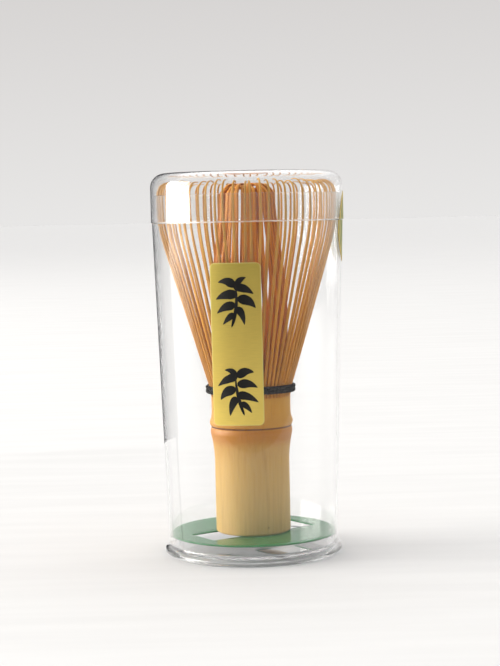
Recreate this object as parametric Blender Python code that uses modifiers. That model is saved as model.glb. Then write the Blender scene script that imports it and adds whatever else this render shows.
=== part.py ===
"""A bamboo tea whisk standing in its clear moulded case, with the case's lid, stand, label and seal.

Metres, +Z up. The origin is the middle of the case's foot, on the surface that it stands on, and the
label is on the front, -Y. Every body lifts straight up, so each one hangs on an empty on the common axis.
"""

import math

import bmesh
import bpy
from mathutils import Matrix

MM = 0.001

# The case: a clear cup with a drawn-in neck, and a lid that slips over the neck.
CASE_HEIGHT = 127.3 * MM  # foot to the top of the lid
LID_RADIUS = 32.0 * MM
LID_WALL = 0.8 * MM
LID_DEPTH = 16.3 * MM  # from the lid's rim to its top
LID_CORNER = 4.6 * MM
LID_FIT = 0.15 * MM  # radial clearance of the lid's skirt on the neck
NECK_HEIGHT = 9.0 * MM
NECK_WALL = 0.75 * MM
SHOULDER = 0.65 * MM  # the step that the lid's rim lands on
CUP_TAPER = 3.35 * MM  # how much smaller the cup's outside is at its foot than at its shoulder
CUP_FOOT_WALL = 0.75 * MM
FOOT_FLANGE = 1.6 * MM  # how far the foot stands out of the wall
FOOT_HEIGHT = 2.7 * MM
FLOOR_RISE = 1.0 * MM  # the floor's underside, clear of the table inside the foot's ring
FLOOR_THICKNESS = 1.4 * MM
FOOT_RING = 3.4 * MM  # width of the ring that touches the table
LEDGE_HEIGHT = 6.35 * MM  # the moulded ledge that carries the stand
LEDGE_WIDTH = 0.7 * MM

# The stand: a green plastic disc with a cross slot, whose two flaps fold up into the handle.
STAND_THICKNESS = 0.5 * MM
STAND_FIT = 0.12 * MM
SLOT_LENGTH = 41.0 * MM
SLOT_WIDTH = 13.4 * MM
SLOT_TURN = math.radians(35)
FLAP_CUT = 0.3 * MM  # material lost on each side of a flap
FLAP_FIT = 0.3 * MM  # clearance of a flap's corners in the handle's bore

# The whisk's handle, heights from the whisk's own lower end.
HANDLE_RADIUS = 12.45 * MM
HANDLE_SWELL = 0.85 * MM  # how much wider the handle is just under its node
HANDLE_EDGE = 0.4 * MM
CULM_WALL = 3.6 * MM
NODE_HEIGHT = 38.5 * MM
NODE_RIDGE = 1.35 * MM  # how far the node's ridge stands out of the handle's foot radius
SCAR_DROP = 3.5 * MM  # the softer sheath ring below the ridge
SEPTUM_THICKNESS = 2.5 * MM
WAIST_RADIUS = 13.25 * MM
SPLIT_RADIUS = 13.35 * MM  # outside of the culm where it is parted into outer and inner tines
SPLIT_HEIGHT = 41.7 * MM

# The tines.
TINE_COUNT = 64
TINE_ROOT = 4.3 * MM  # the uncut ring under the tines
TINE_CLEARANCE = 0.5 * MM  # between the widest tines and the case's neck
TIP_CLEARANCE = 1.7 * MM  # between the tips and the lid
OUTER_THICKNESS = 0.85 * MM
OUTER_TIP_THICKNESS = 0.5 * MM
OUTER_SPREAD = 0.2 * MM  # how much the skin has opened where the slits begin
OUTER_WIDTH = 1.15 * MM  # width of an outer tine at its root
OUTER_TIP_WIDTH = 0.75 * MM
OUTER_CURL = (4.0 * MM, 5.7 * MM)  # the hook at an outer tip: reach inwards, height
FLANK_END = 6.3 * MM  # the straight flare ends this far below the lid's rim
FLANK_BEND = 1.4 * MM  # and this far inside the widest radius
RING_GAP = 0.2 * MM  # between the outer and the inner ring
INNER_THICKNESS = 0.9 * MM
INNER_TIP_THICKNESS = 0.45 * MM
INNER_SLIT = 0.3 * MM
INNER_WAIST = 3.0 * MM  # how much the inner bundle draws in towards its top
INNER_LEVEL_TO = 0.5  # share of its free height that the bundle keeps its full width
INNER_DRAWN = 0.7  # share of its drawing in that it has reached
INNER_DRAWN_AT = 0.8  # at this share of the free height
INNER_CURL = (3.4 * MM, 4.2 * MM)
INNER_DROP = 1.1 * MM  # inner tips below the outer tips

# The thread that is woven round the roots of the tines.
THREAD_ROUNDS = ("thread_lower_round", "thread_upper_round")
THREAD_DIAMETER = 1.2 * MM
THREAD_HEIGHT = 1.2 * MM  # lower round above the start of the slits
THREAD_FIT = 0.05 * MM
THREAD_SIDES = 5

# The label and the round seal, both stuck on the outside.
LABEL_WIDTH = 16.5 * MM
LABEL_HEIGHT = 52.0 * MM
LABEL_DROP = 12.9 * MM  # the label's upper edge below the lid's rim
LABEL_CORNER = 1.7 * MM
LABEL_TURN = math.radians(-7.7)  # from the front, positive towards +X
SEAL_DIAMETER = 23.4 * MM
SEAL_DROP = 2.3 * MM  # the seal's middle below the lid's rim
SEAL_TURN = math.radians(92)
STICKER_THICKNESS = 0.15 * MM
STICKER_GAP = 0.03 * MM
SLIT_GAP = 0.1 * MM  # the seal is slit along the lid's rim

CASE_STEPS = 48
CORNER_STEPS = 4
CURL_STEPS = 3
CUTTER_REACH = 1.2  # a cutter starts or ends this share past what it has to clear

# Sizes that follow.
rim_height = CASE_HEIGHT - LID_DEPTH
ceiling = CASE_HEIGHT - LID_WALL
lid_bore = LID_RADIUS - LID_WALL
neck_radius = lid_bore - LID_FIT
neck_bore = neck_radius - NECK_WALL
shoulder_radius = neck_radius + SHOULDER
foot_radius = shoulder_radius - CUP_TAPER
label_top = rim_height - LABEL_DROP
label_bottom = label_top - LABEL_HEIGHT
stand_height = LEDGE_HEIGHT
whisk_height = stand_height + STAND_THICKNESS


def cup_outside(z):
    """Radius of the cup's outer wall, a straight cone from the foot to the shoulder."""
    return foot_radius + (shoulder_radius - foot_radius) * z / rim_height


def cup_inside(z):
    """Radius of the cup's inner wall, which only widens upwards, so that the mould's core comes out."""
    lowest = foot_radius - CUP_FOOT_WALL
    return lowest + (neck_bore - lowest) * z / (rim_height + NECK_HEIGHT)


def curl(radius, top, reach, height, steps):
    """Quarter of an ellipse, from upright at this radius up and in to its top."""
    points = []
    for step in range(steps + 1):
        angle = math.pi / 2 * step / steps
        points.append((radius - reach * (1 - math.cos(angle)), top - height * (1 - math.sin(angle))))
    return points


def clear_scene():
    for thing in list(bpy.data.objects):
        bpy.data.objects.remove(thing, do_unlink=True)


def new_collection(name):
    collection = bpy.data.collections.new(name)
    bpy.context.scene.collection.children.link(collection)
    return collection


def finish(name, colour, roughness, alpha=1.0, transmission=0.0):
    """A plain Principled material."""
    material = bpy.data.materials.new(name)
    material.use_nodes = True
    shader = material.node_tree.nodes["Principled BSDF"]
    shader.inputs["Base Color"].default_value = (*colour, 1)
    shader.inputs["Roughness"].default_value = roughness
    shader.inputs["Alpha"].default_value = alpha
    shader.inputs["Transmission Weight"].default_value = transmission
    return material


def place(name, mesh, collection, material=None, parent=None):
    thing = bpy.data.objects.new(name, mesh)
    collection.objects.link(thing)
    if material:
        mesh.materials.append(material)
    thing.parent = parent
    return thing


def seat(name, height, collection, parent=None):
    """An empty on the axis where a body rests. The height is in the world."""
    empty = bpy.data.objects.new(name, None)
    empty.empty_display_size = 10 * MM
    empty.location.z = height - (parent.matrix_world.translation.z if parent else 0)
    empty.parent = parent
    collection.objects.link(empty)
    bpy.context.view_layer.update()
    return empty


def turned(name, profile, steps, collection, material=None, parent=None, ring=False):
    """A Screw round Z of (radius, height) points that run down the outer side. A ring's outline is closed."""
    mesh = bpy.data.meshes.new(name)
    count = len(profile)
    edges = [(i, i + 1) for i in range(count - 1)]
    if ring:
        edges.append((count - 1, 0))
    mesh.from_pydata([(radius, 0, height) for radius, height in profile], edges, [])
    thing = place(name, mesh, collection, material, parent)
    screw = thing.modifiers.new("turn", "SCREW")
    screw.steps = steps
    screw.render_steps = steps
    screw.use_merge_vertices = True
    screw.merge_threshold = 1e-6
    screw.use_smooth_shade = True
    return thing


def cut(thing, tool, operation="DIFFERENCE"):
    modifier = thing.modifiers.new(tool.name, "BOOLEAN")
    modifier.operation = operation
    modifier.object = tool


def as_tool(name, shape, collection, parent=None):
    """A helper object made from a bmesh: it shapes others, and is no part of the model."""
    mesh = bpy.data.meshes.new(name)
    shape.to_mesh(mesh)
    shape.free()
    tool = place(name, mesh, collection, parent=parent)
    tool.hide_render = True
    tool.display_type = "WIRE"
    return tool


def add_box(shape, low, high, turn=0.0):
    """A box between two corners, then turned round Z."""
    size = [b - a for a, b in zip(low, high)]
    middle = [(a + b) / 2 for a, b in zip(low, high)]
    matrix = Matrix.Rotation(turn, 4, "Z") @ Matrix.Translation(middle) @ Matrix.Diagonal((*size, 1))
    return bmesh.ops.create_cube(shape, size=1, matrix=matrix)["verts"]


# ---- case ----


def cup_profile():
    floor_top = FLOOR_RISE + FLOOR_THICKNESS
    ledge = cup_inside(LEDGE_HEIGHT) - LEDGE_WIDTH
    neck_top = rim_height + NECK_HEIGHT
    flange = foot_radius + FOOT_FLANGE
    edge = FOOT_HEIGHT / 3
    return [
        (0, floor_top),
        (ledge - edge, floor_top),
        (ledge, floor_top + edge),
        (ledge, LEDGE_HEIGHT),
        (ledge + LEDGE_WIDTH, LEDGE_HEIGHT),
        (neck_bore, neck_top),
        (neck_radius, neck_top),
        (neck_radius, rim_height),
        (shoulder_radius, rim_height),
        (cup_outside(FOOT_HEIGHT + edge), FOOT_HEIGHT + edge),
        (flange - edge, FOOT_HEIGHT),
        (flange, FOOT_HEIGHT - edge),
        (flange, edge),
        (flange - edge, 0),
        (flange - FOOT_RING, 0),
        (flange - FOOT_RING - FLOOR_RISE, FLOOR_RISE),
        (0, FLOOR_RISE),
    ]


def lid_profile():
    outside = curl(LID_RADIUS, CASE_HEIGHT, LID_CORNER, LID_CORNER, CORNER_STEPS)
    inner_corner = LID_CORNER - LID_WALL
    inside = curl(lid_bore, ceiling, inner_corner, inner_corner, CORNER_STEPS)
    to_rim = [(radius, height - rim_height) for radius, height in outside[::-1]]
    from_rim = [(radius, height - rim_height) for radius, height in inside]
    return [
        (0, CASE_HEIGHT - rim_height),
        *to_rim,
        (LID_RADIUS, 0),
        (lid_bore, 0),
        *from_rim,
        (0, ceiling - rim_height),
    ]


def sticker_skin(name, surface, low, high, collection, material, parent=None):
    """A thin ring that lies just outside surface(height), to be trimmed to a sticker's outline."""
    inner = STICKER_GAP
    outer = STICKER_GAP + STICKER_THICKNESS
    profile = [
        (surface(high) + inner, high),
        (surface(high) + outer, high),
        (surface(low) + outer, low),
        (surface(low) + inner, low),
    ]
    offset = parent.matrix_world.translation.z if parent else 0
    profile = [(radius, height - offset) for radius, height in profile]
    return turned(name, profile, CASE_STEPS, collection, material, parent, ring=True)


def label_outline(tools):
    """A block with four rounded edges that reaches out through the wall at the label's place."""
    shape = bmesh.new()
    half = LABEL_WIDTH / 2
    low = (-half, -CUTTER_REACH * LID_RADIUS, label_bottom)
    high = (half, -foot_radius / 2, label_top)
    add_box(shape, low, high)
    along = [e for e in shape.edges if abs(e.verts[0].co.y - e.verts[1].co.y) > half]
    bmesh.ops.bevel(shape, geom=along, offset=LABEL_CORNER, segments=3, profile=0.5, affect="EDGES")
    shape.transform(Matrix.Rotation(LABEL_TURN, 4, "Z"))
    return as_tool("label_outline", shape, tools)


def seal_outline(tools):
    """A drum that reaches out through the wall at the seal's place."""
    shape = bmesh.new()
    out = Matrix.Rotation(SEAL_TURN, 4, "Z") @ Matrix.Translation((0, -LID_RADIUS, rim_height - SEAL_DROP))
    matrix = out @ Matrix.Rotation(math.pi / 2, 4, "X")
    radius = SEAL_DIAMETER / 2
    bmesh.ops.create_cone(
        shape, cap_ends=True, segments=32, radius1=radius, radius2=radius, depth=LID_RADIUS, matrix=matrix
    )
    return as_tool("seal_outline", shape, tools)


def make_case(parts, tools, clear, foil):
    turned("case_body", cup_profile(), CASE_STEPS, parts, clear)
    low = label_bottom - LABEL_HEIGHT / 2
    high = rim_height - SLIT_GAP
    label = sticker_skin("front_label", cup_outside, low, high, parts, foil)
    cut(label, label_outline(tools), "INTERSECT")


def make_seal(parts, tools, paper, lid_seat):
    outline = seal_outline(tools)
    low = rim_height - SEAL_DROP - SEAL_DIAMETER
    high = rim_height - SLIT_GAP
    lower = sticker_skin("seal_body_half", cup_outside, low, high, parts, paper)
    cut(lower, outline, "INTERSECT")
    low = rim_height + SLIT_GAP
    high = CASE_HEIGHT - LID_CORNER
    upper = sticker_skin("seal_lid_half", lambda z: LID_RADIUS, low, high, parts, paper, lid_seat)
    cut(upper, outline, "INTERSECT")


# ---- stand ----


def make_stand(parts, tools, green, stand_seat):
    radius = cup_inside(stand_height) - STAND_FIT
    shape = bmesh.new()
    bmesh.ops.create_cone(
        shape,
        cap_ends=True,
        segments=CASE_STEPS,
        radius1=radius,
        radius2=radius,
        depth=STAND_THICKNESS,
        matrix=Matrix.Translation((0, 0, STAND_THICKNESS / 2)),
    )
    mesh = bpy.data.meshes.new("green_stand")
    shape.to_mesh(mesh)
    shape.free()
    stand = place("green_stand", mesh, parts, green, stand_seat)

    # The flaps' corners stand just inside the handle's bore, and that sets where they fold.
    half_flap = SLOT_WIDTH / 2 - FLAP_CUT
    bore = HANDLE_RADIUS - CULM_WALL - FLAP_FIT
    fold = math.sqrt(bore**2 - half_flap**2)
    flap_length = SLOT_LENGTH / 2 - fold
    windows = bmesh.new()
    flaps = bmesh.new()
    for side in (SLOT_TURN, SLOT_TURN + math.pi):
        low = (fold, -SLOT_WIDTH / 2, -STAND_THICKNESS)
        high = (fold + flap_length, SLOT_WIDTH / 2, 2 * STAND_THICKNESS)
        add_box(windows, low, high, side)
        low = (fold - STAND_THICKNESS, -half_flap, STAND_THICKNESS / 3)
        high = (fold, half_flap, flap_length)
        add_box(flaps, low, high, side)
    cut(stand, as_tool("stand_windows", windows, tools, stand_seat))
    cut(stand, as_tool("stand_flaps", flaps, tools, stand_seat), "UNION")


# ---- whisk ----


def handle_profile():
    bore = HANDLE_RADIUS - CULM_WALL
    upper_bore = SPLIT_RADIUS - CULM_WALL
    neck = HANDLE_RADIUS + HANDLE_SWELL
    ridge = HANDLE_RADIUS + NODE_RIDGE
    scar = NODE_HEIGHT - SCAR_DROP
    septum_top = NODE_HEIGHT - HANDLE_EDGE
    return [
        (0, septum_top),
        (upper_bore, septum_top),
        (upper_bore, SPLIT_HEIGHT),
        (SPLIT_RADIUS, SPLIT_HEIGHT),
        (WAIST_RADIUS, (NODE_HEIGHT + SPLIT_HEIGHT) / 2),
        (ridge, NODE_HEIGHT),
        (neck, NODE_HEIGHT - SCAR_DROP / 2),
        ((neck + ridge) / 2, scar),
        (neck - HANDLE_EDGE / 2, scar - SCAR_DROP / 2),
        (HANDLE_RADIUS, scar / 3),
        (HANDLE_RADIUS, HANDLE_EDGE),
        (HANDLE_RADIUS - HANDLE_EDGE, 0),
        (bore, 0),
        (bore, septum_top - SEPTUM_THICKNESS),
        (0, septum_top - SEPTUM_THICKNESS),
    ]


def slit_start():
    return SPLIT_HEIGHT + TINE_ROOT


def outer_flank():
    """(radius, height) up the outside of the outer tines as far as the hook."""
    widest = neck_bore - TINE_CLEARANCE
    rim = rim_height - whisk_height
    start = SPLIT_RADIUS + OUTER_SPREAD
    over_thread = slit_start() + THREAD_HEIGHT + THREAD_DIAMETER * len(THREAD_ROUNDS)
    return [
        (SPLIT_RADIUS, SPLIT_HEIGHT),
        (start, slit_start()),
        (start + OUTER_SPREAD, over_thread),
        (widest - FLANK_BEND, rim - FLANK_END),
        (widest, rim),
    ]


def radius_at(flank, height):
    """Straight between the flank's points, and level beyond its ends."""
    for (low_radius, low), (high_radius, high) in zip(flank, flank[1:]):
        if height <= high:
            share = max(0, (height - low) / (high - low))
            return low_radius + (high_radius - low_radius) * share
    return flank[-1][0]


def shell_profile(flank, root, tip_thickness, reach, height, top):
    """Closed outline of a shell: down its outside from the hook, and up its inside, thinning to the tip."""
    first = flank[0][1]
    straight = top - height - first
    hook = curl(flank[-1][0], top, reach, height, CURL_STEPS)
    outside = [*flank, *hook]
    inside = [(r - root + (root - tip_thickness) * (z - first) / straight, z) for r, z in flank]
    under_radius = flank[-1][0] - tip_thickness
    under = curl(under_radius, top - tip_thickness, reach - tip_thickness, height - tip_thickness, CURL_STEPS)
    return outside[::-1] + inside + under


def outer_slits(flank, top, tools, parent):
    """One wedge between each two tines, with radial sides, that leaves each tine its own width."""
    levels = []
    slit_end = top + OUTER_THICKNESS
    for radius, height, width in (
        (flank[1][0], slit_start(), OUTER_WIDTH),
        (flank[-1][0], flank[-1][1], OUTER_TIP_WIDTH),
        (flank[-1][0], slit_end, OUTER_TIP_WIDTH),
    ):
        levels.append((radius, height, math.pi / TINE_COUNT - width / radius / 2))
    shape = bmesh.new()
    margin = 1.5 * OUTER_THICKNESS
    for tine in range(TINE_COUNT):
        middle = 2 * math.pi * tine / TINE_COUNT
        rings = []
        for place_up, (radius, height, half) in enumerate(levels):
            reach = OUTER_CURL[0] if place_up == len(levels) - 1 else 0
            near = radius - OUTER_THICKNESS - margin - reach
            far = radius + margin
            corners = ((near, -half), (far, -half), (far, half), (near, half))
            places = [(r * math.cos(middle + a), r * math.sin(middle + a), height) for r, a in corners]
            rings.append([shape.verts.new(place_at) for place_at in places])
        shape.faces.new(rings[0][::-1])
        shape.faces.new(rings[-1])
        for lower, upper in zip(rings, rings[1:]):
            for i in range(4):
                j = (i + 1) % 4
                shape.faces.new((lower[i], lower[j], upper[j], upper[i]))
    return as_tool("outer_slits", shape, tools, parent)


def inner_slits(widest, top, tools, parent):
    """A thin radial knife cut between each two inner tines."""
    shape = bmesh.new()
    near = INNER_SLIT * TINE_COUNT / (2 * math.pi) * CUTTER_REACH  # any nearer, the cuts would meet
    for tine in range(TINE_COUNT):
        low = (near, -INNER_SLIT / 2, slit_start())
        high = (widest + INNER_THICKNESS, INNER_SLIT / 2, top + INNER_THICKNESS)
        add_box(shape, low, high, 2 * math.pi * tine / TINE_COUNT)
    return as_tool("inner_slits", shape, tools, parent)


def make_tines(parts, tools, outer_bamboo, inner_bamboo, whisk_seat):
    top = ceiling - TIP_CLEARANCE - whisk_height
    flank = outer_flank()
    profile = shell_profile(flank, OUTER_THICKNESS, OUTER_TIP_THICKNESS, *OUTER_CURL, top)
    outer = turned("outer_tines", profile, TINE_COUNT, parts, outer_bamboo, whisk_seat, ring=True)
    cut(outer, outer_slits(flank, top, tools, whisk_seat))

    widest = SPLIT_RADIUS - OUTER_THICKNESS - RING_GAP
    inner_top = top - INNER_DROP
    free = inner_top - INNER_CURL[1] - slit_start()
    inner_flank = [
        (widest, SPLIT_HEIGHT),
        (widest, slit_start() + INNER_LEVEL_TO * free),
        (widest - INNER_DRAWN * INNER_WAIST, slit_start() + INNER_DRAWN_AT * free),
        (widest - INNER_WAIST, inner_top - INNER_CURL[1]),
    ]
    profile = shell_profile(inner_flank, INNER_THICKNESS, INNER_TIP_THICKNESS, *INNER_CURL, inner_top)
    inner = turned("inner_tines", profile, TINE_COUNT, parts, inner_bamboo, whisk_seat, ring=True)
    cut(inner, inner_slits(widest, inner_top, tools, whisk_seat))


def make_thread(parts, black, whisk_seat):
    """Two rounds of thread, each a turned ring that lies against the tines."""
    flank = outer_flank()
    half = THREAD_DIAMETER / 2
    for turn, name in enumerate(THREAD_ROUNDS):
        height = slit_start() + THREAD_HEIGHT + turn * THREAD_DIAMETER
        middle = radius_at(flank, height + half) + THREAD_FIT + half
        ring = []
        for side in range(THREAD_SIDES):
            angle = -2 * math.pi * side / THREAD_SIDES
            ring.append((middle + half * math.cos(angle), height + half * math.sin(angle)))
        turned(name, ring, TINE_COUNT, parts, black, whisk_seat, ring=True)


def main():
    clear_scene()
    parts = new_collection("bamboo_tea_whisk")
    tools = new_collection("cutters")
    clear = finish("clear_moulded_styrene", (0.93, 0.94, 0.95), 0.03, alpha=0.35, transmission=1.0)
    foil = finish("gold_foil_paper", (0.58, 0.44, 0.12), 0.35)
    paper = finish("gold_seal_paper", (0.40, 0.36, 0.12), 0.4)
    green = finish("green_plastic_sheet", (0.08, 0.30, 0.17), 0.25)
    culm = finish("dried_culm_bamboo", (0.72, 0.50, 0.24), 0.45)
    outer_bamboo = finish("split_skin_bamboo", (0.68, 0.36, 0.13), 0.4)
    inner_bamboo = finish("shaved_core_bamboo", (0.50, 0.22, 0.07), 0.5)
    black = finish("black_cotton_thread", (0.02, 0.02, 0.025), 0.8)

    stand_seat = seat("stand_seat", stand_height, parts)
    whisk_seat = seat("whisk_seat", whisk_height, parts, stand_seat)
    lid_seat = seat("lid_seat", rim_height, parts, whisk_seat)

    make_case(parts, tools, clear, foil)
    make_stand(parts, tools, green, stand_seat)
    turned("handle", handle_profile(), CASE_STEPS, parts, culm, whisk_seat)
    make_tines(parts, tools, outer_bamboo, inner_bamboo, whisk_seat)
    make_thread(parts, black, whisk_seat)
    turned("case_lid", lid_profile(), CASE_STEPS, parts, clear, lid_seat)
    make_seal(parts, tools, paper, lid_seat)


main()
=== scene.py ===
# %% [markdown]
# # A bamboo tea whisk in its clear case
# A tea whisk, or chasen, is one length of bamboo culm. The handle is left whole, and above the node the
# wall is split into many tines, which are parted into an outer and an inner ring and curled with heat.
# It is sold in a clear moulded cup with a slip lid, standing on a green plastic disc.
#
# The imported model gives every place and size. This script puts finer surfaces in the same places, and it
# gives each of them the finish of the real material.

# %% Load the frame
import math

import bmesh
import bpy
import numpy as np
from mathutils import Matrix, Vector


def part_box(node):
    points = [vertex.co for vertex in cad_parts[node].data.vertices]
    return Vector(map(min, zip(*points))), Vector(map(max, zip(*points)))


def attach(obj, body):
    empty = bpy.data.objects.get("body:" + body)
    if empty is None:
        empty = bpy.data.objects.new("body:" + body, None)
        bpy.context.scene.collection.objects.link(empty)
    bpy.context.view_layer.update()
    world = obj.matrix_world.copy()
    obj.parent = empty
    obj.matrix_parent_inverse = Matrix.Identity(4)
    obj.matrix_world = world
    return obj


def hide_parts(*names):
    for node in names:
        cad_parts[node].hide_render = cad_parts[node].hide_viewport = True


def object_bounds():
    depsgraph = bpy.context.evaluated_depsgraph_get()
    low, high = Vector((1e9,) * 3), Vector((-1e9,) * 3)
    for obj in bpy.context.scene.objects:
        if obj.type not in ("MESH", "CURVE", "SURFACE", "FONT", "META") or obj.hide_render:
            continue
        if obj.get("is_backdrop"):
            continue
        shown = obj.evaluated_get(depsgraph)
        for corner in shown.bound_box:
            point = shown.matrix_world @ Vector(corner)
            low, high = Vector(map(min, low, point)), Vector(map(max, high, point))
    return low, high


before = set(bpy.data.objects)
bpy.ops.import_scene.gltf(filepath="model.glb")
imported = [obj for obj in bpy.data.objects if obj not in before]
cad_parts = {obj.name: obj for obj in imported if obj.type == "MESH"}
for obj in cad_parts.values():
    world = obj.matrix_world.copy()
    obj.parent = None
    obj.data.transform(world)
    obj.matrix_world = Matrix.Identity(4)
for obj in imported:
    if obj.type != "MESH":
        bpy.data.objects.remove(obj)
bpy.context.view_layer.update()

MM = 0.001


def box_of(node):
    """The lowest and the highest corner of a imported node, in millimetres, as all sizes of the object are."""
    low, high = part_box(node)
    return np.array(low) / MM, np.array(high) / MM

# %% [markdown]
# ## The camera
# A picture taken with a long lens from half a metre away, at nearly the height of the lid. The camera
# looks slightly down, and it is turned a degree about its own axis, so that the case leans in the picture.
# The turn about its own axis has to come first, so the matrix is multiplied out here.

# %% Place the camera
CAMERA_DISTANCE = 536 * MM
CAMERA_HEIGHT = 112.5 * MM
CAMERA_SIDE = 0.2 * MM
CAMERA_LENS = 86.5
LOOK_DOWN = math.radians(4.16)
CAMERA_ROLL = math.radians(-1.25)

camera_data = bpy.data.cameras.new("camera")
camera_data.lens = CAMERA_LENS
camera_data.sensor_width = 36
camera_data.clip_start = 0.01
camera = bpy.data.objects.new("camera", camera_data)
bpy.context.scene.collection.objects.link(camera)
camera.matrix_world = (
    Matrix.Translation((CAMERA_SIDE, -CAMERA_DISTANCE, CAMERA_HEIGHT))
    @ Matrix.Rotation(math.pi / 2 - LOOK_DOWN, 4, "X")
    @ Matrix.Rotation(CAMERA_ROLL, 4, "Z")
)
bpy.context.scene.camera = camera
bpy.context.scene.view_settings.view_transform = "Standard"
print("camera, mm:", [round(v / MM, 1) for v in camera.matrix_world.translation], "lens", camera_data.lens)

# %% [markdown]
# A ray that goes in and out of the case crosses eight or more clear surfaces, and in the thick foot it is
# also mirrored inside the plastic again and again. Blender's own limits would end it in the dark.

# %% Let light through many clear walls
cycles = bpy.context.scene.cycles
cycles.max_bounces = 32
cycles.transmission_bounces = 32
cycles.glossy_bounces = 32
cycles.transparent_max_bounces = 24
print("bounces:", cycles.max_bounces, "of which glossy", cycles.glossy_bounces)

# %% [markdown]
# ## Helpers for colours and nodes
# A colour is written as people write it, in sRGB hex, and a shader wants it linear. One function adds a
# node, and another feeds its inputs. Most nodes are used for their first output, so naming the node is
# enough to link it. A pattern's scale comes from the real size of one of its features.


# %% Colour, scale and node helpers
def linear(hex_colour):
    """sRGB to linear light: v / 12.92 below 0.04045, and ((v + 0.055) / 1.055) to the power 2.4 above it."""
    value = np.array([int(hex_colour[i : i + 2], 16) for i in (1, 3, 5)]) / 255
    light = np.where(value <= 0.04045, value / 12.92, ((value + 0.055) / 1.055) ** 2.4)
    return (*light.tolist(), 1.0)


def per_mm(size):
    """The texture scale that gives features of about this many millimetres."""
    return 1 / (size * MM)


def feed(tree, node, inputs):
    """Stores a value, links a socket, and links a node by its first output, for each input."""
    for key, value in inputs.items():
        if isinstance(value, bpy.types.Node):
            value = next(output for output in value.outputs if output.enabled)
        if isinstance(value, bpy.types.NodeSocket):
            tree.links.new(value, node.inputs[key])
        else:
            node.inputs[key].default_value = value


def add(tree, kind, inputs=(), stops=(), **settings):
    """Adds one node with its settings and inputs. The stops of a colour ramp are (place, hex)."""
    node = tree.nodes.new(kind)
    for key, value in settings.items():
        setattr(node, key, value)
    feed(tree, node, dict(inputs))
    for index, (place, colour) in enumerate(stops):
        elements = node.color_ramp.elements
        element = elements[index] if index < 2 else elements.new(place)
        element.position = place
        element.color = linear(colour)
    return node


def new_finish(name, **settings):
    """A material with one Principled shader. Settings are its inputs, with _ for a space."""
    material = bpy.data.materials.new(name)
    material.use_nodes = True
    shader = material.node_tree.nodes["Principled BSDF"]
    for key, value in settings.items():
        shader.inputs[key.replace("_", " ")].default_value = value
    return material, material.node_tree, shader


# %% [markdown]
# ## Helpers for surfaces
# Each new piece is a grid of points worked out with numpy: rows along a path, columns round its section.
# Rounding corners, dividing paths and joining grids into quads are done once here.


# %% Outlines and paths
def rounded(corners, radius, steps=5):
    """Corners as short quadratic Beziers: each starts `radius` before its corner and ends as far past it,
    or 0.4 of the shorter side if that is less. One more point lies close before and after each, which keeps
    the shading of the flat stretches even. The first and the last point stay."""
    corners = np.asarray(corners, float)
    pieces = [corners[:1]]
    t = np.linspace(0, 1, steps + 1)[:, None]
    for before, corner, after in zip(corners, corners[1:], corners[2:]):
        back, on = before - corner, after - corner
        a, b = np.linalg.norm(back), np.linalg.norm(on)
        cut = min(radius, 0.4 * a, 0.4 * b)
        start, end = corner + back / a * cut, corner + on / b * cut
        curve = (1 - t) ** 2 * start + 2 * t * (1 - t) * corner + t**2 * end
        pieces.append([start + back / a * min(0.15, 0.05 * a)])
        pieces.append(curve)
        pieces.append([end + on / b * min(0.15, 0.05 * b)])
    return np.concatenate([*pieces, corners[-1:]])


def arc(middle, radius, start, end, steps):
    """Points on a circle from one angle to another, in degrees, 0 being outwards and 90 up."""
    angle = np.radians(np.linspace(start, end, steps + 1))
    return np.stack([middle[0] + radius * np.cos(angle), middle[1] + radius * np.sin(angle)], axis=1)


def resample(path, count):
    """`count` points at even steps of length along a path."""
    lengths = np.concatenate([[0], np.cumsum(np.linalg.norm(np.diff(path, axis=0), axis=1))])
    at = np.linspace(0, lengths[-1], count)
    return np.stack([np.interp(at, lengths, column) for column in path.T], axis=1)


def divided(path, longest):
    """The same path with points added, so that no stretch is longer than `longest`."""
    pieces = [path[:1]]
    for start, end in zip(path, path[1:]):
        parts = max(1, math.ceil(np.linalg.norm(end - start) / longest))
        pieces.append(start + (end - start) * (np.arange(1, parts + 1) / parts)[:, None])
    return np.concatenate(pieces)


# %% Grids and meshes
def grid_faces(rows, columns, close_rows=False, close_columns=True):
    """Quads between neighbours in a grid whose points are numbered row by row."""
    row = np.arange(rows if close_rows else rows - 1)[:, None]
    column = np.arange(columns if close_columns else columns - 1)[None, :]
    next_row, next_column = (row + 1) % rows, (column + 1) % columns
    corners = (
        row * columns + column,
        row * columns + next_column,
        next_row * columns + next_column,
        next_row * columns + column,
    )
    return np.stack(np.broadcast_arrays(*corners), axis=-1).reshape(-1, 4)


def tube_faces(count, rows, sides):
    """Faces of many tubes at once, each with one flat face on either end."""
    around = np.arange(sides)
    caps = np.stack([around[::-1], (rows - 1) * sides + around])
    first = np.arange(count)[:, None, None] * rows * sides
    quads = (first + grid_faces(rows, sides)).reshape(-1, 4)
    return quads.tolist() + (first + caps).reshape(-1, sides).tolist()


def slab_faces(rows, columns):
    """Faces of a thin plate: a front grid, a back grid numbered after it, and the strip round their edge."""
    count = rows * columns
    front = grid_faces(rows, columns, close_columns=False)
    number = np.arange(count).reshape(rows, columns)
    edge = np.concatenate([number[0, :-1], number[:-1, -1], number[-1, :0:-1], number[:0:-1, 0]])
    after = np.roll(edge, -1)
    strip = np.stack([after, edge, edge + count, after + count], axis=1)
    return np.concatenate([front, front[:, ::-1] + count, strip])


def turned(outline, steps):
    """A lathe: every (radius, height) of the outline is carried once round the axis."""
    turn = np.linspace(0, 2 * np.pi, steps, endpoint=False)
    radius, height = np.asarray(outline)[:, 0, None], np.asarray(outline)[:, 1, None]
    return np.stack(
        [radius * np.cos(turn), radius * np.sin(turn), np.broadcast_to(height, (len(height), steps))], axis=-1
    )


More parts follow.
